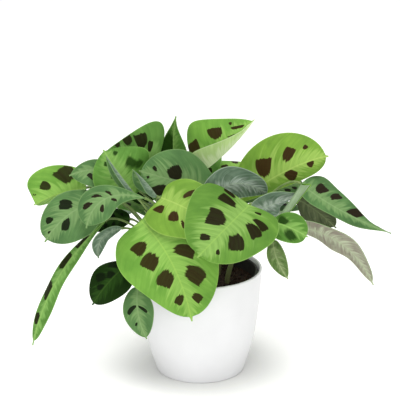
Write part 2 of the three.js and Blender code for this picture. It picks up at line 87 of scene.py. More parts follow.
# ---------- leaves ----------
# name: shoot, tone, midrib (base, middle, tip),
#     way the upper side faces, half widths, folds and curls in degrees,
#     places of the widest point, bluntness, lobes at the base, wave of the margins (height, number, start).
# Pairs are for the left and the right side seen from the petiole.
LEAVES = {
    "front_left": ("front_left", "bright", ((-64, -56, 193), (-30, -88, 156), (-9, -98, 94)),
        (-0.15, -0.85, 0.5), (52, 53), (8, 8), (-25, -25),
        (0.42, 0.32), (0.47, 0.47), (4, 9), (1.5, 1.5, 0.2)),
    "front_centre": ("front", "bright", ((52, -74, 217), (27, -111, 204), (-3, -138, 181)),
        (-0.05, -0.7, 0.7), (47, 59), (8, 8), (-28, -28),
        (0.33, 0.17), (0.4, 0.34), (10, 16), (1.5, 1.6, 0.5)),
    "front_inner": ("front_left", "bright", ((-42, -50, 217), (-11, -68, 209), (29, -78, 189)),
        (0.05, -0.8, 0.6), (34, 37), (8, 8), (-25, -25),
        (0.42, 0.3), (0.42, 0.42), (6, 11), (1.5, 1.5, 0)),
    "grey_middle": ("centre", "grey", ((14, -1, 208), (-27, -16, 225), (-66, -36, 243)),
        (0, -0.9, 0.45), (34, 36), (10, 10), (-25, -25),
        (0.47, 0.47), (0.58, 0.58), (4, 4), (1.5, 1.4, 0.3)),
    "top_left": ("back_left", "green", ((-47, 20, 237), (-73, 8, 245), (-107, 0, 252)),
        (0, -0.95, 0.3), (36, 43), (10, 10), (-15, -15),
        (0.22, 0.19), (0.9, 0.8), (4, 4), (0, 1, 0)),
    "top_spear": ("back_left", "green", ((-27, 46, 221), (-30, 45, 252), (-27, 41, 282)),
        (-0.2, -0.9, 0.3), (19, 15), (45, 5), (-10, -10),
        (0.28, 0.28), (1.2, 1.2), (2, 2), (0, 1, 0)),
    "top_centre": ("back_right", "bright", ((0, 27, 220), (32, 20, 250), (60, 35, 280)),
        (-0.1, -0.85, 0.5), (53, 25), (5, 150), (-15, -10),
        (0.29, 0.16), (0.6, 1.2), (4, 4), (0, 1, 0)),
    "top_right": ("back_right", "bright", ((46, 12, 196), (96, -4, 234), (140, 2, 248)),
        (-0.1, -0.85, 0.5), (45, 18), (0, -14), (-10, -35),
        (0.42, 0.62), (0.48, 0.4), (4, 10), (2, 1.2, 0.2)),
    "cup_right": ("front", "grey", ((6, -30, 207), (38, -37, 229), (74, -30, 213)),
        (0.1, 0.85, 0.5), (37, 22), (20, 20), (-15, -15),
        (0.6, 0.47), (0.58, 0.58), (4, 4), (1.5, 2, 0.1)),
    "low_right": ("right", "grey", ((62, -40, 199), (84, -43, 210), (105, -32, 213)),
        (0.1, 0.7, 0.7), (24, 22), (10, 10), (-15, -15),
        (0.38, 0.38), (0.42, 0.42), (2, 2), (1, 1.5, 0.3)),
    "right_long": ("right", "green", ((109, -20, 223), (155, -35, 196), (208, -28, 169)),
        (0.35, -0.6, 0.75), (37, 12), (-5, -20), (-15, -15),
        (0.18, 0.3), (1.25, 0.9), (3, 3), (2.5, 1.5, 0.4)),
    "right_under": ("right", "grey", ((103, 0, 200), (124, -6, 190), (150, -2, 166)),
        (0.2, 0.85, 0.3), (20, 16), (10, 10), (-15, -15),
        (0.6, 0.6), (0.58, 0.58), (2, 2), (1.5, 1.5, 0.2)),
    "right_low": ("right", "grey", ((108, -36, 179), (156, -50, 162), (189, -42, 114)),
        (0.3, 0.8, 0.5), (17, 16), (10, 10), (-15, -15),
        (0.33, 0.33), (0.6, 0.6), (2, 2), (2, 1.8, 0)),
    "right_small": ("front", "green", ((76, -62, 193), (93, -76, 193), (114, -80, 183)),
        (0.1, -0.7, 0.7), (19, 19), (10, 10), (-15, -15),
        (0.55, 0.55), (0.4, 0.4), (2, 2), (1, 1.2, 0.1)),
    "right_hang": ("front", "dark", ((78, -64, 173), (82, -74, 156), (94, -74, 133)),
        (0.3, 0.9, 0.2), (11, 11), (10, 10), (-15, -15),
        (0.47, 0.47), (0.58, 0.58), (2, 2), (0, 1, 0)),
    "left_far": ("left", "bright", ((-125, -8, 215), (-154, -18, 211), (-181, -24, 200)),
        (-0.1, -0.9, 0.4), (20, 33), (-75, 5), (-10, -15),
        (0.5, 0.62), (0.36, 0.17), (4, 4), (1.5, 1.2, 0.3)),
    "left_grey": ("left", "grey", ((-96, -20, 206), (-136, -50, 202), (-167, -62, 171)),
        (-0.1, -0.85, 0.5), (32, 24), (10, 10), (-15, -15),
        (0.6, 0.62), (0.48, 0.45), (4, 4), (3, 1.6, 0.1)),
    "left_spotted": ("front_left", "grey", ((-60, -54, 218), (-101, -72, 223), (-121, -80, 193)),
        (-0.1, -0.85, 0.5), (20, 19), (10, 10), (-15, -15),
        (0.7, 0.7), (0.58, 0.58), (4, 4), (1.5, 1.3, 0.2)),
    "left_tuck": ("back_left", "green", ((-90, -8, 227), (-114, -20, 239), (-142, -22, 233)),
        (0, -0.8, 0.6), (22, 12), (10, 10), (-15, -15),
        (0.47, 0.47), (0.58, 0.58), (3, 3), (1, 1.2, 0.4)),
    "left_ridge": ("centre", "green", ((-71, -30, 215), (-88, -30, 239), (-105, -18, 261)),
        (-0.1, -0.65, 0.75), (30, 42), (-5, 0), (-15, -15),
        (0.52, 0.52), (0.58, 0.58), (4, 4), (1, 1.3, 0.3)),
    "left_rolled": ("front_left", "grey", ((-47, -40, 216), (-59, -42, 233), (-73, -40, 246)),
        (-0.9, -0.3, 0.3), (13, 13), (55, 55), (-15, -15),
        (0.47, 0.47), (0.58, 0.58), (1, 1), (0, 1, 0)),
    "left_droop": ("left", "green", ((-104, -26, 182), (-156, -42, 121), (-185, -45, 44)),
        (-0.3, -0.85, 0.4), (10, 10), (-30, -20), (-15, -15),
        (0.66, 0.6), (0.4, 0.45), (2, 2), (2, 2.2, 0.1)),
    "left_curled": ("left", "dark", ((-86, -32, 176), (-107, -40, 167), (-111, -36, 143)),
        (-0.3, 0.8, 0.4), (9, 10), (10, 10), (-15, -15),
        (0.47, 0.47), (0.58, 0.58), (1, 1), (0.8, 1.5, 0.2)),
    # painted shade: left_shade wears the dark skin, which stands for the deep shade it lies in behind the
    # leaves in front
    "left_shade": ("left", "dark", ((-78, -6, 178), (-100, -10, 177), (-122, -14, 168)),
        (0, -0.7, 0.7), (14, 15), (10, 10), (-15, -15),
        (0.47, 0.47), (0.58, 0.58), (2, 2), (1, 1.3, 0)),
    # painted shade: hang_dark also wears the dark skin, for the shade under the foliage above it
    "hang_dark": ("front_left", "dark", ((-74, -58, 146), (-96, -68, 130), (-117, -66, 100)),
        (-0.4, -0.8, 0.4), (23, 21), (10, 10), (-15, -15),
        (0.47, 0.62), (0.58, 0.5), (3, 3), (1.5, 1.5, 0.2)),
    "hang_small": ("front_left", "green", ((-67, -74, 123), (-67, -82, 97), (-58, -82, 67)),
        (-0.2, -0.95, 0.2), (18, 16), (10, 10), (-15, -15),
        (0.47, 0.47), (0.58, 0.58), (2, 2), (1, 1.4, 0.3)),
    "back_top_left": ("back_left", "green", ((-26, 54, 194), (-44, 80, 216), (-66, 108, 210)),
        (-0.3, 0.45, 0.85), (30, 30), (8, 8), (-20, -20),
        (0.45, 0.45), (0.5, 0.5), (4, 4), (2, 1.5, 0.1)),
    "back_top_right": ("back_right", "bright", ((24, 40, 198), (44, 72, 214), (66, 106, 204)),
        (0.3, 0.45, 0.85), (31, 31), (8, 8), (-20, -20),
        (0.45, 0.45), (0.5, 0.5), (4, 4), (2, 1.4, 0.6)),
    "back_middle": ("back", "bright", ((2, 50, 180), (4, 92, 192), (8, 132, 170)),
        (0, 0.6, 0.8), (35, 35), (8, 8), (-20, -20),
        (0.45, 0.45), (0.5, 0.5), (4, 4), (2, 1.6, 0.3)),
    "back_low_left": ("back_left", "grey", ((-40, 50, 158), (-70, 86, 164), (-94, 116, 136)),
        (-0.4, 0.6, 0.7), (31, 31), (8, 8), (-20, -20),
        (0.45, 0.45), (0.5, 0.5), (4, 4), (2, 1.5, 0.8)),
    "back_low_right": ("back_right", "green", ((40, 50, 158), (72, 82, 162), (100, 108, 134)),
        (0.4, 0.6, 0.7), (31, 31), (8, 8), (-20, -20),
        (0.45, 0.45), (0.5, 0.5), (4, 4), (2, 1.4, 0.4)),
    "back_hang": ("back", "bright", ((-4, 70, 146), (-8, 98, 132), (-14, 108, 82)),
        (0, 0.9, 0.4), (33, 33), (8, 8), (-20, -20),
        (0.45, 0.45), (0.5, 0.5), (4, 4), (2, 1.6, 0.1)),
    "back_side_left": ("left", "green", ((-62, 24, 178), (-98, 42, 186), (-130, 58, 166)),
        (-0.5, 0.3, 0.8), (27, 27), (8, 8), (-20, -20),
        (0.45, 0.45), (0.5, 0.5), (3, 3), (2, 1.3, 0.5)),
    "back_side_right": ("right", "grey", ((62, 26, 176), (96, 44, 180), (126, 62, 158)),
        (0.5, 0.3, 0.8), (27, 27), (8, 8), (-20, -20),
        (0.45, 0.45), (0.5, 0.5), (3, 3), (2, 1.5, 0.9)),
    "crown_left": ("back_left", "grey", ((-46, 22, 200), (-66, 26, 204), (-88, 28, 200)),
        (0, -0.75, 0.6), (20, 20), (10, 10), (-20, -20),
        (0.45, 0.45), (0.52, 0.52), (3, 3), (1, 1.3, 0.2)),
    "crown_right": ("right", "green", ((60, 24, 188), (88, 28, 204), (116, 32, 206)),
        (0, -0.5, 0.85), (22, 22), (10, 10), (-20, -20),
        (0.45, 0.45), (0.52, 0.52), (14, 14), (1, 1.4, 0.6)),
    "crown_middle": ("back", "green", ((2, 50, 206), (4, 68, 226), (12, 92, 228)),
        (0.1, 0.2, 0.95), (21, 21), (12, 12), (-20, -20),
        (0.45, 0.45), (0.52, 0.52), (3, 3), (1, 1.3, 0.4)),
    "left_folded": ("front_left", "grey", ((-67, -45, 215), (-87, -46, 243), (-101, -42, 262)),
        (-0.85, -0.45, 0.25), (9, 9), (62, 62), (-10, -10),
        (0.4, 0.4), (0.7, 0.7), (1, 1), (0, 1, 0)),
}
LEAF_FIELDS = ("shoot", "tone", "rib", "face", "half", "fold", "curl", "widest", "blunt", "lobe", "wave")
NEW_LEAF = ((88, -56, 198), (113, -50, 232))

# Dark blotches: place along the midrib (0 to 1), place across (-1 left margin, 1 right margin), half length
# along the side veins and half breadth across them in mm. A leaf without a line gets them by rule, so the
# folded and curled leaves, which have next to none, have a line with one speck.
BLOTCHES = {
    "front_left": ((0.21, 0.39, 8.5, 7), (0.38, 0.36, 9.5, 9), (0.6, 0.29, 9.5, 9), (0.81, 0.23, 6, 4.2),
                   (0.45, -0.35, 11, 6), (0.66, -0.38, 10.5, 8.5), (0.83, -0.37, 5.5, 4.5)),
    "front_centre": ((0.04, 0.46, 10, 3), (0.15, 0.34, 11.5, 5.5), (0.46, 0.29, 10.5, 10.5),
                     (0.76, 0.24, 5.5, 4), (0.81, -0.4, 3.2, 1.9), (0.59, -0.45, 9.5, 8.5),
                     (0.33, -0.5, 10.5, 6), (0.21, -0.52, 10, 3.8), (0.09, -0.35, 4, 1.6)),
    "front_inner": ((0.39, -0.51, 9, 3), (0.12, 0.37, 4.8, 4), (0.35, 0.38, 6.2, 5.2), (0.52, 0.52, 5, 1.8)),
    "grey_middle": ((0.53, 0.2, 9, 8), (0.7, -0.54, 9, 6), (0.8, 0.29, 3.6, 2.2), (0.87, -0.25, 2, 1.5)),
    "top_left": ((0.42, 0.52, 8.5, 6.5), (0.65, 0.76, 6, 5), (0.8, 0.85, 4, 3), (0.24, 0.33, 6.5, 2.6)),
    "top_centre": ((0.12, -0.59, 7.5, 8.5), (0.51, -0.52, 6.8, 8.5), (0.77, -0.66, 2, 1.8),
                   (0.79, -0.37, 1.8, 8), (0.66, -0.2, 1.6, 6.5)),
    "top_right": ((0.29, -0.35, 10.5, 8.8), (0.56, -0.38, 8.5, 5.8), (0.5, 0.34, 7, 6), (0.75, 0.16, 4, 4),
                  (0.76, -0.49, 3, 2.4)),
    "right_long": ((0.19, -0.35, 8.5, 6.5), (0.36, -0.5, 8.5, 4.5), (0.6, -0.3, 12.5, 6)),
    "left_far": ((0.3, 0.6, 9.5, 8.5), (0.67, 0.4, 5.6, 4.6), (0.9, 0.35, 3, 1.2)),
    "left_grey": ((0.53, 0.45, 6.6, 5.4), (0.78, 0.48, 4.2, 3.2), (0.68, -0.2, 8, 4.6),
                  (0.88, 0.1, 2.5, 1.5)),
    "left_spotted": ((0.74, 0.42, 5, 2.6), (0.57, 0.4, 5.5, 1.6), (0.41, 0.28, 5, 1.5),
                     (0.38, -0.32, 1.8, 3.5), (0.64, -0.34, 4.5, 2.3)),
    "left_tuck": ((0.6, -0.37, 3, 4.5),),
    "left_ridge": ((0.84, 0.35, 3, 2.4), (0.51, 0.42, 6, 7), (0.39, 0.6, 6, 3.3), (0.49, -0.16, 5, 2.4),
                   (0.75, -0.23, 3, 2.4)),
    "left_droop": ((0.19, 0.5, 8, 10), (0.36, 0.5, 8, 10), (0.6, 0.5, 8, 11), (0.81, 0.55, 6, 6)),
    "hang_small": ((0.41, 0.38, 6.5, 2.3), (0.42, -0.33, 6, 1.8), (0.69, 0.33, 2.8, 1.3)),
    "hang_dark": ((0.59, 0.5, 6.5, 4.5), (0.44, 0.17, 5.5, 4), (0.7, 0.16, 5.5, 3), (0.28, 0.66, 6, 3.5)),
    # painted shade: top_spear's one patch is a broad dark green field over the left half of its blade,
    # standing for that half lying in shade
    "top_spear": ((0.35, -0.5, 14, 24),),
    "left_folded": ((0.3, 0.9, 1, 1),),
    "left_rolled": ((0.3, 0.9, 1, 1),),
    "left_curled": ((0.3, 0.9, 1, 1),),
    "right_small": ((0.3, -0.25, 5, 6.5), (0.64, 0.42, 7, 5)),
}
# How brown the blotches are: 1 reddish brown on young leaves, 0 plain dark green on shaded ones.
BROWN_BY_TONE = {"bright": 0.85, "fresh": 1, "lush": 0.9, "warm": 1, "green": 0.55, "grey": 0.6}
# Leaves whose skin differs from others of their tone.
SKINS = {
    "front_inner": "warm", "front_centre": "lush", "top_right": "warm", "right_long": "grey",
    "right_low": "pink", "right_small": "soft", "left_ridge": "soft", "hang_small": "grey",
    # painted sheen: low_right and cup_right wear a skin whose underside is made paler for a whitish sheen
    "top_spear": "soft", "left_tuck": "grey", "left_curled": "grey", "low_right": "silvery",
    # painted light: top_centre's skin has a very pale underside, standing for light shining through its
    # folded-over flap
    "cup_right": "silvery", "right_under": "brownish", "right_hang": "olive", "top_centre": "fresh",
    # painted shade: crown_left wears the dark skin, which fills a shaded hollow among the leaves
    "crown_left": "dark", "crown_right": "grey",
}
# Leaves whose blotches are more or less brown than their skin says.
BROWN_LEAVES = {"left_grey": 0.15, "hang_small": 0.1, "left_far": 0.5, "right_long": 1, "left_spotted": 0.9}

# ---------- shoots ----------
# name: where the stem leaves the soil and the head it grows to
SHOOTS = {
    "front": ((6, -30, 0), (10, -34, 136)),
    "front_left": ((-22, -24, 0), (-28, -30, 132)),
    "left": ((-38, -2, 0), (-46, -4, 134)),
    "centre": ((-8, -6, 0), (-12, -8, 150)),
    "right": ((30, -10, 0), (38, -12, 140)),
    "back_left": ((-22, 18, 0), (-28, 22, 150)),
    "back_right": ((20, 16, 0), (26, 18, 150)),
    "back": ((0, 34, 0), (0, 42, 132)),
}


# ---------- materials ----------
def colour(code):
    """An sRGB hex colour as linear RGBA."""
    channels = [int(code[i:i + 2], 16) / 255 for i in (0, 2, 4)]
    return (*[c / 12.92 if c <= 0.04045 else ((c + 0.055) / 1.055) ** 2.4 for c in channels], 1)


def node(tree, kind, output=0, inputs=None, **settings):
    """Adds a node and gives one of its outputs. inputs maps sockets to values or to other nodes' outputs."""
    new = tree.nodes.new(kind)
    for name, value in settings.items():
        setattr(new, name, value)
    for socket, value in (inputs or {}).items():
        if isinstance(value, bpy.types.NodeSocket):
            tree.links.new(value, new.inputs[socket])
        else:
            new.inputs[socket].default_value = value
    return new.outputs[output] if new.outputs else None


def new_material(name):
    """An empty node material and its tree."""
    material = bpy.data.materials.new(name)
    material.use_nodes = True
    material.node_tree.nodes.clear()
    return material, material.node_tree


def leaf_face(name, ground, light, deep, mark_green, mark_brown, rib,
              blur=0.05, relief_and_vein_shade=0.2, underside=False):
    """Maranta leaf skin: a thin waxy cuticle with a soft sheen over tissue that lets some light through.

    The side veins are pressed into the upper face and stand out below. The blotches end in fine teeth along
    them, or fade out where blur is large. The relief setting says how strongly the skin stands up between
    the veins, and also how much painted shade darkens the skin along the side veins.
    """
    material, tree = new_material(name)
    vein = node(tree, "ShaderNodeAttribute", "Vector", attribute_name="vein")
    mark = node(tree, "ShaderNodeAttribute", "Vector", attribute_name="mark")
    along_vein = node(tree, "ShaderNodeSeparateXYZ", "X", {0: vein})
    across = node(tree, "ShaderNodeMath", 0, {0: node(tree, "ShaderNodeSeparateXYZ", "Y", {0: vein})},
                  operation="ABSOLUTE")
    blotch = node(tree, "ShaderNodeSeparateXYZ", "X", {0: mark})
    brown = node(tree, "ShaderNodeSeparateXYZ", "Y", {0: mark})
    reach = node(tree, "ShaderNodeSeparateXYZ", "Z", {0: mark})

    # streaks that run with the side veins: broad ones every few millimetres and fine ones at the fine veins
    broad_streaks = (1 / BROAD_STREAK_SPACING, 1 / BROAD_STREAK_LENGTH, 1)
    fine_streaks = (1 / FINE_VEIN_SPACING, 1 / FINE_STREAK_LENGTH, 1)
    broad_place = node(tree, "ShaderNodeMapping", 0, {"Vector": vein, "Scale": broad_streaks})
    broad = node(tree, "ShaderNodeTexNoise", "Fac", {"Vector": broad_place, "Scale": 1, "Detail": 1})
    fine_place = node(tree, "ShaderNodeMapping", 0, {"Vector": vein, "Scale": fine_streaks})
    fine = node(tree, "ShaderNodeTexNoise", "Fac", {"Vector": fine_place, "Scale": 1, "Detail": 1})
    # cloudy changes of green some 20 mm across
    place = node(tree, "ShaderNodeTexCoord", "Object")
    cloud = node(tree, "ShaderNodeTexNoise", "Fac", {"Vector": place, "Scale": 1 / (20 * MM), "Detail": 2})

    deeper = node(tree, "ShaderNodeMapRange", 0, {0: cloud, 1: 0.35, 2: 0.65, 3: 0.0, 4: 0.6})
    green = node(tree, "ShaderNodeMix", 2, {0: deeper, 6: colour(ground), 7: colour(deep)}, data_type="RGBA")
    # paler feathers beside the midrib
    uneven = node(tree, "ShaderNodeMath", 0, {0: broad, 1: 1.4, 2: -0.3}, operation="MULTIPLY_ADD")
    inward = node(tree, "ShaderNodeMath", 0, {0: uneven, 1: reach}, operation="SUBTRACT")
    feather = node(tree, "ShaderNodeMapRange", 0, {0: inward, 1: -0.14, 2: 0.12, 3: 0.0, 4: 0.75})
    green = node(tree, "ShaderNodeMix", 2, {0: feather, 6: green, 7: colour(light)}, data_type="RGBA")
    # painted shade: the skin is darker along the side veins, where the upper face is pressed in
    wander = node(tree, "ShaderNodeMath", 0, {0: cloud, 1: 14.0, 2: along_vein}, operation="MULTIPLY_ADD")
    ripple = node(tree, "ShaderNodeMath", 0, {0: wander, 1: LATERAL_SPACING / 2}, operation="PINGPONG")
    ridge = node(tree, "ShaderNodeMapRange", 0, {0: ripple, 1: 0.0, 2: LATERAL_SPACING / 2})
    vein_shade_share = node(tree, "ShaderNodeMapRange", 0, {0: ridge, 1: 0.0, 2: 0.8, 3: relief_and_vein_shade, 4: 0.0})
    green = node(tree, "ShaderNodeMix", 2, {0: vein_shade_share, 6: green, 7: colour(deep)}, data_type="RGBA")
    stripe = node(tree, "ShaderNodeMapRange", 0,
                  {0: fine, 1: 0.3, 2: 0.7, 3: 0.0, 4: 0.6 if underside else 0.3})
    green = node(tree, "ShaderNodeMix", 2, {0: stripe, 6: green, 7: colour(deep)}, data_type="RGBA")

    teeth = node(tree, "ShaderNodeMath", 0, {0: broad, 1: fine}, operation="ADD")
    ragged = node(tree, "ShaderNodeMath", 0, {0: teeth, 1: 0.3, 2: -0.3}, operation="MULTIPLY_ADD")
    edge = node(tree, "ShaderNodeMath", 0, {0: blotch, 1: ragged}, operation="ADD")
    blotch_share = node(tree, "ShaderNodeMapRange", 0,
                        {0: edge, 1: 0.02 - blur, 2: 0.02 + blur, 3: 0.0, 4: 0.22 if underside else 1.0})
    dark = node(tree, "ShaderNodeMix", 2, {0: brown, 6: colour(mark_green), 7: colour(mark_brown)},
                data_type="RGBA")
    # the blotches are a little paler along the fine veins
    dark = node(tree, "ShaderNodeMix", 2,
                {0: node(tree, "ShaderNodeMath", 0, {0: fine, 1: 0.12}, operation="MULTIPLY"), 6: dark,
                 7: colour(deep)}, data_type="RGBA")
    skin = node(tree, "ShaderNodeMix", 2, {0: blotch_share, 6: green, 7: dark}, data_type="RGBA")
    rib_share = node(tree, "ShaderNodeMapRange", 0, {0: across, 1: 0.4, 2: 1.1, 3: 0.55, 4: 0.0})
    skin = node(tree, "ShaderNodeMix", 2, {0: rib_share, 6: skin, 7: colour(rib)}, data_type="RGBA")
    margin = node(tree, "ShaderNodeAttribute", "Fac", attribute_name="margin")
    margin_share = node(tree, "ShaderNodeMapRange", 0, {0: margin, 1: 0.3, 2: 1.1, 3: 0.6, 4: 0.0})
    skin = node(tree, "ShaderNodeMix", 2, {0: margin_share, 6: skin, 7: colour(light)}, data_type="RGBA")

    # relief: one furrow or ridge at every side vein, and the fine veins between
    height = node(tree, "ShaderNodeMath", 0, {0: fine, 1: 0.35, 2: ridge}, operation="MULTIPLY_ADD")
    bump = node(tree, "ShaderNodeBump", 0,
                {"Height": height, "Strength": 0.5, "Distance": (0.3 + relief_and_vein_shade) * MM}, invert=underside)
    dull = 0.1 if underside else 0.0
    gloss = node(tree, "ShaderNodeMapRange", 0, {0: cloud, 1: 0.3, 2: 0.7, 3: 0.45 + dull, 4: 0.55 + dull})
    surface = node(tree, "ShaderNodeBsdfPrincipled", 0,
                   {"Base Color": skin, "Roughness": gloss, "IOR": 1.42, "Specular IOR Level": 0.08,
                    "Normal": bump})
    through = node(tree, "ShaderNodeBsdfTranslucent", 0, {"Color": skin, "Normal": bump})
    blade = node(tree, "ShaderNodeMixShader", 0, {0: 0.12, 1: surface, 2: through})
    node(tree, "ShaderNodeOutputMaterial", 0, {"Surface": blade})
    return material


# skin: upper face (ground, light, deep, green blotch, brown blotch, midrib, blur), then the underside
SKIN_COLOURS = {
    "bright": (("80b24a", "a0cc64", "5e9238", "1c2a0c", "34200e", "a4cc60", 0.05),
               ("a9c985", "c0d4a4", "8ba66f", "4a5a3a", "6a4a40", "bfd598")),
    "lush": (("729f42", "98c064", "507e30", "1c2a0c", "200c04", "98c05c", 0.05),
             ("a9c985", "c0d4a4", "8ba66f", "4a5a3a", "6a4a40", "bfd598")),
    "young": (("80b24a", "a0cc64", "5e9238", "1c2a0c", "34200e", "a4cc60", 0.05),
              ("a8bc9c", "d4e0cc", "7c966c", "4a5a3a", "6a4a40", "c4d4b4", 0.05, 0.4)),
    # painted light: the very pale underside stands for light shining through the flap that top_centre folds
    # over; its upper face is the bright one
    "fresh": (("80b24a", "a0cc64", "5e9238", "1c2a0c", "34200e", "a4cc60", 0.05),
              ("d6f0a6", "ecf8d0", "b4d684", "7a8a5a", "8a6a50", "e4f4c4")),
    "olive": (("648c52", "88aa6c", "466a3e", "121c0a", "261610", "8caa72", 0.05),
              ("7a9656", "a4b480", "54703c", "3a4a24", "54502c", "a8b884", 0.05, 0.5)),
    "warm": (("86b044", "a8ca64", "628c34", "20280a", "381c0e", "b4d06c", 0.05),
             ("a9bf80", "bfce9c", "8ba46a", "4a5a3a", "6a4a40", "bccd94")),
    "green": (("70a04c", "92c268", "4c7a32", "16240c", "2c2010", "98c268", 0.05),
              ("93a988", "a9bb9c", "748c6a", "4a5a3a", "6a4a40", "a9bb90")),
    "soft": (("689a44", "8cb85e", "467228", "22400e", "3a3c18", "98c268", 0.22),
             ("93a988", "a9bb9c", "748c6a", "4a5a3a", "6a4a40", "a9bb90")),
    "grey": (("648c52", "88aa6c", "466a3e", "121c0a", "261610", "8caa72", 0.05),
             ("78927a", "a0b49e", "526a50", "3a4a34", "54403c", "9cb092")),
    "pink": (("648c52", "88aa6c", "466a3e", "121c0a", "261610", "8caa72", 0.05),
             ("aab296", "c6d2b0", "857870", "5a5a4a", "6a504a", "b4c49c", 0.05, 0.3)),
    # partly painted sheen: this underside is the grey skin's own grey-green made paler for the whitish sheen
    # on it, and darker along the side veins
    "silvery": (("648c52", "88aa6c", "466a3e", "121c0a", "261610", "8caa72", 0.05),
                ("8fa68e", "ccd8cc", "4c6650", "3a4a34", "54403c", "a8baa0", 0.05, 0.5)),
    "brownish": (("648c52", "88aa6c", "466a3e", "121c0a", "261610", "8caa72", 0.05),
                 ("5e6a48", "76805c", "444c34", "3a4a34", "54403c", "7c8a60")),
    # painted shade: this skin is far darker than the leaves' own green and stands for leaves deep in the
    # shade of others
    "dark": (("1c380c", "2e501a", "122806", "0e1c06", "1a1208", "3c5a22", 0.15),
             ("3a4e2e", "526848", "24361c", "1a2812", "281e14", "4c663c")),
}
leaf_skins = {
    tone: (leaf_face(f"maranta_leaf_{tone}", *upper),
           leaf_face(f"maranta_underside_{tone}", *under, underside=True))
    for tone, (upper, under) in SKIN_COLOURS.items()
}


def glazed_earthenware():
    """White glazed earthenware: cast in a mould and fired, faintly wavy under a soft clear gloss."""
    material, tree = new_material("white_glazed_earthenware")
    place = node(tree, "ShaderNodeTexCoord", "Object")
    pooling = node(tree, "ShaderNodeTexNoise", "Fac", {"Vector": place, "Scale": 1 / (40 * MM), "Detail": 2})
    share = node(tree, "ShaderNodeMapRange", 0, {0: pooling, 1: 0.35, 2: 0.65})
    white = node(tree, "ShaderNodeMix", 2, {0: share, 6: colour("eaeaec"), 7: colour("e6e6e8")},
                 data_type="RGBA")
    waves = node(tree, "ShaderNodeTexNoise", "Fac", {"Vector": place, "Scale": 1 / (9 * MM), "Detail": 2})
    bump = node(tree, "ShaderNodeBump", 0, {"Height": waves, "Strength": 0.15, "Distance": 0.2 * MM})
    surface = node(tree, "ShaderNodeBsdfPrincipled", 0,
                   {"Base Color": white, "Roughness": 0.38, "IOR": 1.5, "Coat Weight": 0.25,
                    "Coat Roughness": 0.2, "Normal": bump})
    node(tree, "ShaderNodeOutputMaterial", 0, {"Surface": surface})
    return material


def moulded_black_plastic():
    """Black polypropylene: thin, injection moulded, dull with a fine grain."""
    material, tree = new_material("moulded_black_polypropylene")
    place = node(tree, "ShaderNodeTexCoord", "Object")
    grain = node(tree, "ShaderNodeTexNoise", "Fac", {"Vector": place, "Scale": 1 / (0.8 * MM), "Detail": 2})
    dust = node(tree, "ShaderNodeTexNoise", "Fac", {"Vector": place, "Scale": 1 / (14 * MM), "Detail": 3})
    share = node(tree, "ShaderNodeMapRange", 0, {0: dust, 1: 0.4, 2: 0.7})
    black = node(tree, "ShaderNodeMix", 2, {0: share, 6: colour("161615"), 7: colour("2a2723")},
                 data_type="RGBA")
    bump = node(tree, "ShaderNodeBump", 0, {"Height": grain, "Strength": 0.3, "Distance": 0.1 * MM})
    rough = node(tree, "ShaderNodeMapRange", 0, {0: grain, 3: 0.45, 4: 0.65})
    surface = node(tree, "ShaderNodeBsdfPrincipled", 0,
                   {"Base Color": black, "Roughness": rough, "IOR": 1.49, "Normal": bump})
    node(tree, "ShaderNodeOutputMaterial", 0, {"Surface": surface})
    return material


def peat_mix():
    """Potting peat with coir: matt dark crumbs a few millimetres across, with redder fibrous bits."""
    material, tree = new_material("peat_and_coir")
    place = node(tree, "ShaderNodeTexCoord", "Object")
    crumbs = node(tree, "ShaderNodeTexVoronoi", "Color", {"Vector": place, "Scale": 1 / (3 * MM)})
    tint = node(tree, "ShaderNodeSeparateColor", 0, {0: crumbs})
    grit = node(tree, "ShaderNodeTexNoise", "Fac", {"Vector": place, "Scale": 1 / (1.2 * MM), "Detail": 4})
    brown = node(tree, "ShaderNodeMix", 2, {0: tint, 6: colour("15110d"), 7: colour("2f1e15")},
                 data_type="RGBA")
    share = node(tree, "ShaderNodeMapRange", 0, {0: grit, 1: 0.55, 2: 0.75, 3: 0.0, 4: 0.5})
    brown = node(tree, "ShaderNodeMix", 2, {0: share, 6: brown, 7: colour("5c4030")}, data_type="RGBA")
    bump = node(tree, "ShaderNodeBump", 0, {"Height": grit, "Strength": 0.9, "Distance": 0.8 * MM})
    surface = node(tree, "ShaderNodeBsdfPrincipled", 0,
                   {"Base Color": brown, "Roughness": 0.92, "IOR": 1.4, "Specular IOR Level": 0.25,
                    "Normal": bump})
    node(tree, "ShaderNodeOutputMaterial", 0, {"Surface": surface})
    return material


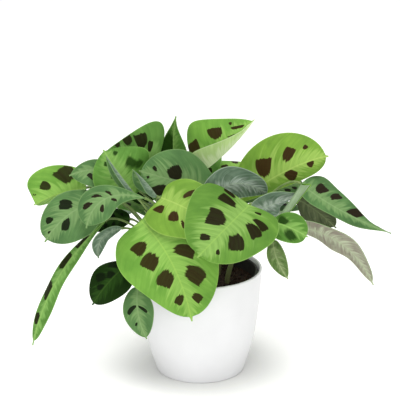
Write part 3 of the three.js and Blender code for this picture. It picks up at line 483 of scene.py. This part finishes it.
def stem_skin():
    """Petioles and sheaths: juicy pale green, finely ribbed along their length, dull brown near the soil."""
    material, tree = new_material("pale_green_petiole")
    place = node(tree, "ShaderNodeTexCoord", "Object")
    height = node(tree, "ShaderNodeSeparateXYZ", "Z", {0: place})
    along = node(tree, "ShaderNodeMapping", 0, {"Vector": place, "Scale": (1, 1, 0.12)})
    ribs = node(tree, "ShaderNodeTexNoise", "Fac", {"Vector": along, "Scale": 1 / (0.9 * MM), "Detail": 1})
    cloud = node(tree, "ShaderNodeTexNoise", "Fac", {"Vector": place, "Scale": 1 / (15 * MM), "Detail": 2})
    share = node(tree, "ShaderNodeMapRange", 0, {0: cloud, 1: 0.35, 2: 0.65})
    # partly painted shade: both greens are darker than the stalks' own pale green, for the dim inside of the
    # plant
    green = node(tree, "ShaderNodeMix", 2, {0: share, 6: colour("7c9452"), 7: colour("5f7a40")},
                 data_type="RGBA")
    low = node(tree, "ShaderNodeMapRange", 0, {0: height, 1: 0.11, 2: 0.15, 3: 0.85, 4: 0.0})
    green = node(tree, "ShaderNodeMix", 2, {0: low, 6: green, 7: colour("4a382a")}, data_type="RGBA")
    pale = node(tree, "ShaderNodeMapRange", 0, {0: ribs, 4: 0.35})
    green = node(tree, "ShaderNodeMix", 2, {0: pale, 6: green, 7: colour("9cb074")}, data_type="RGBA")
    bump = node(tree, "ShaderNodeBump", 0, {"Height": ribs, "Strength": 0.4, "Distance": 0.2 * MM})
    surface = node(tree, "ShaderNodeBsdfPrincipled", 0,
                   {"Base Color": green, "Roughness": 0.48, "IOR": 1.42, "Specular IOR Level": 0.35,
                    "Normal": bump})
    node(tree, "ShaderNodeOutputMaterial", 0, {"Surface": surface})
    return material


def glowing_floor_with_painted_shadow():
    """A white matt floor with a faint painted glow that fades out near the pot into a painted contact shadow.
    """
    material, tree = new_material("floor_with_painted_glow_and_shadow")
    place = node(tree, "ShaderNodeTexCoord", "Object")
    tooth = node(tree, "ShaderNodeTexNoise", "Fac", {"Vector": place, "Scale": 1 / (2 * MM), "Detail": 2})
    white = node(tree, "ShaderNodeMix", 2, {0: tooth, 6: colour("f6f6f4"), 7: colour("f8f8f6")},
                 data_type="RGBA")
    # painted light and shadow: the floor glows faintly away from the pot, and the glow fades out near its
    # foot as a painted contact shadow
    from_pot = node(tree, "ShaderNodeVectorMath", "Value", {0: place}, operation="LENGTH")
    glow = node(tree, "ShaderNodeMapRange", 0,
                {0: from_pot, 1: GLOW_STARTS * MM, 2: GLOW_FULL * MM, 3: 0.0, 4: 1.0},
                interpolation_type="SMOOTHSTEP")
    light = node(tree, "ShaderNodeMix", 2, {0: glow, 6: colour("000000"), 7: white}, data_type="RGBA")
    surface = node(tree, "ShaderNodeBsdfPrincipled", 0,
                   {"Base Color": white, "Roughness": 0.9, "Specular IOR Level": 0.1, "Emission Color": light,
                    "Emission Strength": 0.38})
    node(tree, "ShaderNodeOutputMaterial", 0, {"Surface": surface})
    return material


glaze = glazed_earthenware()
black_plastic = moulded_black_plastic()
peat = peat_mix()
stem_green = stem_skin()


# ---------- modelling ----------
def select_only(*objects):
    """Selects these objects and nothing else; the first becomes the active one."""
    bpy.ops.object.select_all(action="DESELECT")
    for obj in objects:
        obj.select_set(True)
    bpy.context.view_layer.objects.active = objects[0]


def finish_piece(obj, name, slot, *nodes):
    """Names a piece and says what it rides on and stands for. slot, the finish it would take, is not used."""
    obj.name = obj.data.name = name
    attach(obj, BODY)
    if nodes:
        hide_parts(*nodes)
    return obj


def turned(rings, material):
    """A round piece raised ring by ring from its flat foot. rings are (radius, height) in mm."""
    radius, height = rings[0]
    bpy.ops.object.select_all(action="DESELECT")
    bpy.ops.mesh.primitive_circle_add(vertices=TURNED_SIDES, radius=radius * MM, fill_type="NGON",
                                      location=(0, 0, height * MM))
    obj = bpy.context.object
    bpy.ops.object.transform_apply(location=True)
    bpy.ops.object.mode_set(mode="EDIT")
    bpy.ops.mesh.select_all(action="SELECT")
    for next_radius, next_height in rings[1:]:
        rise = (next_height - height) * MM
        bpy.ops.mesh.extrude_region_move(TRANSFORM_OT_translate={"value": (0, 0, rise)})
        share = next_radius / radius
        bpy.ops.transform.resize(value=(share, share, 1), center_override=(0, 0, 0))
        radius, height = next_radius, next_height
    bpy.ops.mesh.select_all(action="SELECT")
    bpy.ops.mesh.normals_make_consistent(inside=False)
    bpy.ops.object.mode_set(mode="OBJECT")
    obj.data.materials.append(material)
    bpy.ops.object.shade_smooth_by_angle(angle=math.radians(40))
    return obj


def curve_ring(start, end, centre, radius, steps):
    """Ring sizes on a round edge between two angles, in degrees from straight out."""
    return [(centre[0] + radius * math.cos(math.radians(a)), centre[1] + radius * math.sin(math.radians(a)))
            for a in np.linspace(start, end, steps)]


def rib_point(rib, t):
    """A smooth curve through the three midrib points."""
    first, middle, last = (np.array(p, float) for p in rib)
    t = np.asarray(t, float)[..., None]
    return first * (2 * t - 1) * (t - 1) + middle * 4 * t * (1 - t) + last * t * (2 * t - 1)


def unit(v):
    """The same directions with length 1."""
    return v / np.linalg.norm(v, axis=-1, keepdims=True)


def rib_tangent(rib, t):
    """The way the midrib runs."""
    t = np.asarray(t, float)
    return unit(rib_point(rib, t + 1e-4) - rib_point(rib, t - 1e-4))


def outline(u, widest, blunt):
    """Half width along the blade as a share of the widest, ending in a short drip tip."""
    power = math.log(0.5) / math.log(widest)
    body = np.sin(np.pi * np.minimum(u / 0.965, 1) ** power).clip(0) ** blunt
    cusp = np.where(u > 0.8, np.minimum(1 - u, 0.12), 0)
    return (body ** 4 + cusp ** 4) ** 0.25


def half_width(leaf, u, v):
    """How far the blade reaches on one side of the midrib, in mm."""
    k = 1 if v > 0 else 0
    return leaf["half"][k] * float(outline(np.float64(u), leaf["widest"][k], leaf["blunt"][k]))


def by_rule(leaf, rand):
    """Blotches for a leaf without its own line: three or four on each side of the midrib."""
    places = []
    for side in (-1, 1):
        for u in (0.2, 0.4, 0.6, 0.79):
            half = half_width(leaf, u, side)
            reach = half * rand.uniform(0.18, 0.23)
            places.append((u + rand.uniform(-0.03, 0.03), side * rand.uniform(0.34, 0.44), reach,
                           reach * rand.uniform(0.6, 0.8)))
    return places


def lateral_slope(u, gain):
    """How fast the side veins run forward: a little back at the base, and by gain more at the tip."""
    return -0.3 + gain * u


def grid_sheet(rows, columns):
    """A square grid with its places along (0 to 1) and across (-1 to 1)."""
    bpy.ops.object.select_all(action="DESELECT")
    bpy.ops.mesh.primitive_grid_add(x_subdivisions=rows, y_subdivisions=columns, size=2)
    obj = bpy.context.object
    places = np.empty(len(obj.data.vertices) * 3)
    obj.data.vertices.foreach_get("co", places)
    places = places.reshape(-1, 3)
    return obj, (places[:, 0] + 1) / 2, -places[:, 1]


def set_attribute(mesh, name, values):
    """Keeps one number or one vector for every vertex."""
    if values.ndim == 1:
        mesh.attributes.new(name, "FLOAT", "POINT").data.foreach_set("value", values)
    else:
        mesh.attributes.new(name, "FLOAT_VECTOR", "POINT").data.foreach_set("vector", values.ravel())


def thicken(obj, thickness, skins):
    """Gives a sheet its thickness, with the second skin on its underside."""
    for skin in skins:
        obj.data.materials.append(skin)
    solid = obj.modifiers.new("thickness", "SOLIDIFY")
    solid.thickness = thickness * MM
    solid.offset = 0
    solid.material_offset = 1
    solid.material_offset_rim = 0
    select_only(obj)
    bpy.ops.object.modifier_apply(modifier=solid.name)
    bpy.ops.object.shade_smooth_by_angle(angle=math.radians(55))


def blade(name, leaf, seed):
    """One leaf blade, with its blotches and veins kept as attributes."""
    large = sum(leaf["half"]) > 60
    obj, u, v = grid_sheet(*((72, 36) if large else (44, 24)))
    # rows closer together at both ends, where the outline turns fastest
    u = 0.4 * u + 0.3 * (1 - np.cos(np.pi * u))
    q = np.abs(v)
    right = v > 0
    pick = lambda pair: np.where(right, pair[1], pair[0])
    middle = rib_point(leaf["rib"], u)
    tangent = rib_tangent(leaf["rib"], u)
    face = np.array(leaf["face"], float)
    face = unit(face - (tangent @ face)[:, None] * tangent)
    side = np.cross(tangent, face)
    shares = [outline(u, widest, blunt) for widest, blunt in zip(leaf["widest"], leaf["blunt"])]
    share = np.where(right, shares[1], shares[0])
    reach = np.maximum(pick(leaf["half"]) * share, 0.8)
    fold, curl = np.radians(pick(leaf["fold"])), np.radians(pick(leaf["curl"]))
    out = (np.sin(fold + curl * q) - np.sin(fold)) / curl
    lift = (np.cos(fold) - np.cos(fold + curl * q)) / curl
    first_row = 0.03 if sum(leaf["half"]) >= 40 else 0.06
    lobe = pick(leaf["lobe"]) * q * q * (3 - 2 * q) * np.minimum(u / first_row, 1) ** 0.4 * (1 - u) ** 6

    steps = np.linspace(0, 1, 200)
    lengths = np.r_[0, np.cumsum(np.linalg.norm(np.diff(rib_point(leaf["rib"], steps), axis=0), axis=1))]
    length = lengths[-1]
    s = np.interp(u, steps, lengths)
    # the margins wave, and both ends stay still
    swing, waves, start = leaf["wave"]
    wave = swing * q * q * np.sin(2 * np.pi * (waves * u + start + 0.3 * right)) * np.sqrt(4 * u * (1 - u))
    points = (middle + side * (np.sign(v) * out * reach)[:, None] + face * (lift * reach + wave)[:, None]
              - tangent * lobe[:, None])
    mesh = obj.data
    mesh.vertices.foreach_set("co", (points * MM).ravel())

    y = q * reach
    gains = [min(2, 0.7 * length / half) for half in leaf["half"]]
    vein = s - y * lateral_slope(u, pick(gains)) - LATERAL_CURVE * y * y / pick(leaf["half"])
    blotch = np.full(len(u), -1.0)
    for u0, v0, half_length, half_breadth in leaf["blotches"]:
        k = 1 if v0 > 0 else 0
        s0 = np.interp(u0, steps, lengths)
        y0 = abs(v0) * half_width(leaf, u0, v0)
        vein0 = s0 - y0 * lateral_slope(u0, gains[k]) - LATERAL_CURVE * y0 * y0 / leaf["half"][k]
        # which way the side veins run there; they come closer together away from the midrib
        forward = lateral_slope(u0, gains[k]) + 2 * LATERAL_CURVE * y0 / leaf["half"][k]
        crowding = 1 - gains[k] * y0 / length
        stretch = math.hypot(forward, crowding)
        outward = ((s - s0) * forward + (y - y0) * crowding) / stretch / half_length
        # square towards the margin, narrower and with deeper teeth towards the midrib
        sideways = (vein - vein0) / stretch / half_breadth / (1.05 - 0.35 * np.clip(-outward, 0, 1))
        endways = np.where(outward > 0, outward, 0.5 - 0.5 * outward)
        inside = 1 - (endways ** 8 + sideways ** 8) ** (1 / 8)
        blotch = np.where(v * v0 > 0, np.maximum(blotch, inside), blotch)
    set_attribute(mesh, "vein", np.c_[vein, v * reach, np.full(len(u), 13.7 * seed)])
    set_attribute(mesh, "mark", np.c_[blotch.clip(-1), np.full(len(u), leaf["brown"]), q])
    set_attribute(mesh, "margin", (1 - q) * reach)
    thicken(obj, BLADE_THICKNESS, leaf_skins[leaf["skin"]])
    return finish_piece(obj, f"blade_{name}", f"leaf_{leaf['tone']}", f"leaf_{name}")


def rolled_leaf(base, mouth):
    """A young leaf still rolled into a tube, a little wider at its slanted mouth."""
    obj, u, turn_share = grid_sheet(28, 72)
    turn_share = (turn_share + 1) / 2
    base, mouth = np.array(base, float), np.array(mouth, float)
    axis = unit(mouth - base)
    across = unit(np.cross(axis, (0, -1, 0)))
    forward = np.cross(axis, across)
    turn = 2 * np.pi * 1.2 * turn_share
    radius = (3.6 + 1.2 * u) * (1 - 0.3 * turn_share)
    outward = across * np.cos(turn)[:, None] + forward * np.sin(turn)[:, None]
    points = (base + (mouth - base) * u[:, None] + outward * radius[:, None]
              + axis * (3 * u * np.cos(turn))[:, None])
    obj.data.vertices.foreach_set("co", (points * MM).ravel())
    y = ROLL_WIDTH * turn_share
    set_attribute(obj.data, "vein", np.c_[y + 5 * u, 20 + 40 * u, np.full(len(u), 3.0)])
    set_attribute(obj.data, "mark", np.c_[np.full(len(u), -1.0), np.ones(len(u)), np.full(len(u), 0.8)])
    set_attribute(obj.data, "margin", ROLL_WIDTH * np.minimum(turn_share, 1 - turn_share))
    bpy.ops.object.mode_set(mode="EDIT")
    bpy.ops.mesh.select_all(action="SELECT")
    bpy.ops.mesh.normals_make_consistent(inside=False)
    bpy.ops.object.mode_set(mode="OBJECT")
    thicken(obj, BLADE_THICKNESS, (leaf_skins["bright"][0], leaf_skins["young"][1]))
    return finish_piece(obj, "blade_new_rolled", "leaf_bright", "leaf_new_rolled")


def tube(beziers, radii, sides=4):
    """A round stem along cubic curves. beziers are (point, handle before, handle after) in mm."""
    bpy.ops.object.select_all(action="DESELECT")
    bpy.ops.curve.primitive_bezier_curve_add()
    obj = bpy.context.object
    obj.data.resolution_u = 12
    obj.data.bevel_depth = MM
    obj.data.bevel_resolution = sides
    obj.data.use_fill_caps = True
    spline = obj.data.splines[0]
    spline.bezier_points.add(len(beziers) - 2)
    for point, (place, before, after), radius in zip(spline.bezier_points, beziers, radii):
        point.handle_left_type = point.handle_right_type = "FREE"
        point.co, point.handle_left, point.handle_right = (Vector(p) * MM for p in (place, before, after))
        point.radius = radius
    select_only(obj)
    bpy.ops.object.convert(target="MESH")
    return bpy.context.object


def join(*parts):
    """Several meshes made one."""
    select_only(*parts)
    bpy.ops.object.join()
    return bpy.context.object


def split_bezier(points, t):
    """A cubic curve cut in two at t."""
    a, b, c, d = (np.array(p, float) for p in points)
    ab, bc, cd = a + (b - a) * t, b + (c - b) * t, c + (d - c) * t
    abc, bcd = ab + (bc - ab) * t, bc + (cd - bc) * t
    middle = abc + (bcd - abc) * t
    return (a, ab, abc, middle), (middle, bcd, cd, d)


def petiole(leaf, start):
    """A leaf stalk: a broad sheath where it leaves the shoot, slim above, thicker just below the blade."""
    tangent = rib_tangent(leaf["rib"], 0.0)
    end = np.array(leaf["rib"][0], float) - tangent * CLEARANCE
    reach = np.linalg.norm(end - start)
    rise = start + (end - start) * 0.12 + np.array((0, 0, 0.28 * reach))
    curve = (start, rise, end - tangent * 0.22 * reach, end)
    sheath, rest = split_bezier(curve, 0.35)
    knee_at = 1 - KNEE_LENGTH / reach
    slim, knee = split_bezier(rest, max(knee_at, 0.5))
    points = [(sheath[0], sheath[0], sheath[1]), (sheath[3], sheath[2], slim[1]),
              (slim[3], slim[2], knee[1]), (knee[3], knee[2], knee[3])]
    slim_radius = PETIOLE_RADIUS * 0.85
    return tube(points, (PETIOLE_RADIUS * 1.25, slim_radius, slim_radius, PETIOLE_RADIUS * 1.15))


def bezier_point(points, t):
    """A place on a cubic curve."""
    return split_bezier(points, t)[0][3]


def shoot(name, leaves):
    """A stem straight through the soil, its leaning upper part and the petioles that leave it in turn."""
    foot, head = (np.array(p, float) for p in SHOOTS[name])
    surface = np.array((foot[0], foot[1], SOIL_LEVEL + 5.0))
    lean = (surface, surface + (0, 0, 8), head, head)
    buried = np.array((foot[0], foot[1], STEM_FOOT + 0.0))
    up = np.array((0, 0, 8.0))
    points = [(buried, buried - up, buried + up), (surface, surface - up, surface + up), (head, head, head)]
    stem = tube(points, (STEM_RADIUS, STEM_RADIUS, STEM_RADIUS * 0.7), sides=6)
    stalks = [petiole(leaf, bezier_point(lean, 0.93 - 0.5 * i / len(leaves)))
              for i, leaf in enumerate(leaves)]
    obj = join(stem, *stalks)
    obj.data.materials.clear()
    obj.data.materials.append(stem_green)
    bpy.ops.object.shade_smooth_by_angle(angle=math.radians(50))
    return finish_piece(obj, f"stems_{name}", "pale_stem", f"shoot_{name}")


# ---------- pot, liner and soil ----------
def cover_pot():
    """The white pot, with a rounded foot and rim."""
    wall = [(54.2, 16.5), (57.6, 27.5), (60.8, 41), (63.6, 60), (65.9, 80), (67.4, 100)]
    rim = (RIM_RADIUS - POT_WALL / 2, POT_HEIGHT - POT_WALL / 2)
    inner = [(r - POT_WALL, z) for r, z in reversed(wall[2:])] + [(50.8, 16.5), (FOOT_RADIUS - 4, POT_FLOOR)]
    rings = [(FOOT_RADIUS - 2.2, 0), *curve_ring(-80, 0, (FOOT_RADIUS - 0.6, 2.4), 2.4, 5), *wall,
             *curve_ring(0, 180, rim, POT_WALL / 2, 9), *inner, (20, POT_FLOOR)]
    return finish_piece(turned(rings, glaze), "cover_pot", "white_glaze", "pot")


def nursery_pot():
    """The thin black pot inside, with a stiff collar that ends in a rolled lip."""
    foot = POT_FLOOR + CLEARANCE
    rings = [(LINER_FOOT_RADIUS, foot), (LINER_RADIUS - 2, LINER_SHOULDER), (LINER_RADIUS, LINER_SHOULDER),
             *curve_ring(0, 180, (LINER_RADIUS - LIP_RADIUS, LINER_TOP - LIP_RADIUS), LIP_RADIUS, 7),
             (LINER_RADIUS - 2 - LINER_WALL, LINER_SHOULDER - 2),
             (LINER_FOOT_RADIUS - LINER_WALL, foot + LINER_WALL), (20, foot + LINER_WALL)]
    return finish_piece(turned(rings, black_plastic), "liner", "black_plastic", "nursery_pot")


def soil_height(x, y):
    """Lumps on the soil, in mm above its level."""
    lumps = noise.fractal(Vector((x / 11, y / 11, 2.0)), 0.9, 2.0, 4)
    return 1.6 + 1.5 * max(-1, min(1, lumps))


def peat_fill():
    """Soil filling the liner, with loose crumbs and coir fibres on top."""
    rings = [(LINER_FOOT_RADIUS - 2, 6), (SOIL_RADIUS, SOIL_LEVEL - 1)]
    rings += [(SOIL_RADIUS - 0.4 - 1.6 * k, SOIL_LEVEL) for k in range(37)]
    obj = turned(rings, peat)
    for vertex in obj.data.vertices:
        if vertex.co.z > (SOIL_LEVEL - 0.5) * MM:
            x, y = vertex.co.x / MM, vertex.co.y / MM
            edge = min(1, (SOIL_RADIUS - math.hypot(x, y)) / 3)
            vertex.co.z += edge * soil_height(x, y) * MM
    rand = random.Random(11)
    loose = []
    for _ in range(CRUMBS):
        radius, angle = 57 * math.sqrt(rand.random()), rand.uniform(0, 2 * math.pi)
        x, y = radius * math.cos(angle), radius * math.sin(angle)
        size = rand.uniform(0.7, 2.2)
        bpy.ops.mesh.primitive_ico_sphere_add(subdivisions=1, radius=size * MM, location=(
            x * MM, y * MM, (SOIL_LEVEL + soil_height(x, y) + 0.3 * size) * MM),
            rotation=(rand.uniform(0, 3), rand.uniform(0, 3), 0),
            scale=(1, rand.uniform(0.6, 1), rand.uniform(0.4, 0.9)))
        loose.append(bpy.context.object)
    for _ in range(FIBRES):
        radius, angle = 54 * math.sqrt(rand.random()), rand.uniform(0, 2 * math.pi)
        x, y = radius * math.cos(angle), radius * math.sin(angle)
        turn, reach = rand.uniform(0, 2 * math.pi), rand.uniform(4, 9)
        step = np.array((math.cos(turn), math.sin(turn), 0)) * reach
        low = np.array((x, y, SOIL_LEVEL + soil_height(x, y)))
        bow = np.array((rand.uniform(-2, 2), rand.uniform(-2, 2), rand.uniform(1, 3)))
        bend = low + step / 2 + bow
        fibre = [(low, low - step / 2, bend), (low + step, bend, low + step)]
        loose.append(tube(fibre, (0.28, 0.18), sides=0))
    obj = join(obj, *loose)
    obj.data.materials.clear()
    obj.data.materials.append(peat)
    bpy.ops.object.transform_apply(location=True, rotation=True, scale=True)
    return finish_piece(obj, "potting_soil", "peat", "soil")


# ---------- assembly ----------
leaves = {}
for seed, (name, row) in enumerate(LEAVES.items(), 1):
    leaf = dict(zip(LEAF_FIELDS, row))
    leaf["blotches"] = BLOTCHES.get(name) or by_rule(leaf, random.Random(100 + seed))
    leaf["skin"] = SKINS.get(name, leaf["tone"])
    leaf["brown"] = BROWN_LEAVES.get(name, BROWN_BY_TONE.get(leaf["skin"], 0))
    leaves[name] = leaf

cover_pot()
nursery_pot()
peat_fill()
for name in SHOOTS:
    shoot(name, [leaf for leaf in leaves.values() if leaf["shoot"] == name])
for seed, (name, leaf) in enumerate(leaves.items(), 1):
    blade(name, leaf, seed)
rolled_leaf(*NEW_LEAF)


# ---------- studio ----------
def area_light(name, place, target, size, power):
    """A soft box aimed at a place."""
    light = bpy.data.lights.new(name, "AREA")
    light.shape = "DISK"
    light.size = size
    light.energy = power
    obj = bpy.data.objects.new(name, light)
    obj.location = place
    obj.rotation_euler = (Vector(target) - Vector(place)).to_track_quat("-Z", "Y").to_euler()
    bpy.context.scene.collection.objects.link(obj)


bpy.ops.object.select_all(action="DESELECT")
bpy.ops.mesh.primitive_plane_add(size=14, location=(0, 0, 0))
floor = bpy.context.object
floor.name = "table_top"
floor.data.materials.append(glowing_floor_with_painted_shadow())

world = bpy.data.worlds.new("studio")
world.use_nodes = True
world.node_tree.nodes["Background"].inputs["Color"].default_value = (1, 1, 1, 1)
world.node_tree.nodes["Background"].inputs["Strength"].default_value = 0.5
bpy.context.scene.world = world
area_light("soft_box_above", (0, -0.5, 2.3), (0, 0, 0.15), 2.4, 42)
area_light("soft_box_front", (-0.1, -2.4, 0.9), (0, 0, 0.1), 1.2, 14)

camera = bpy.data.objects.new("camera", bpy.data.cameras.new("camera"))
camera.location = Vector(CAMERA_PLACE) * MM
aim = Vector(CAMERA_TARGET) - Vector(CAMERA_PLACE)
camera.rotation_euler = aim.to_track_quat("-Z", "Y").to_euler()
camera.data.lens = CAMERA_LENS
camera.data.sensor_width = 36
bpy.context.scene.collection.objects.link(camera)
bpy.context.scene.camera = camera
bpy.context.scene.view_settings.view_transform = "Standard"
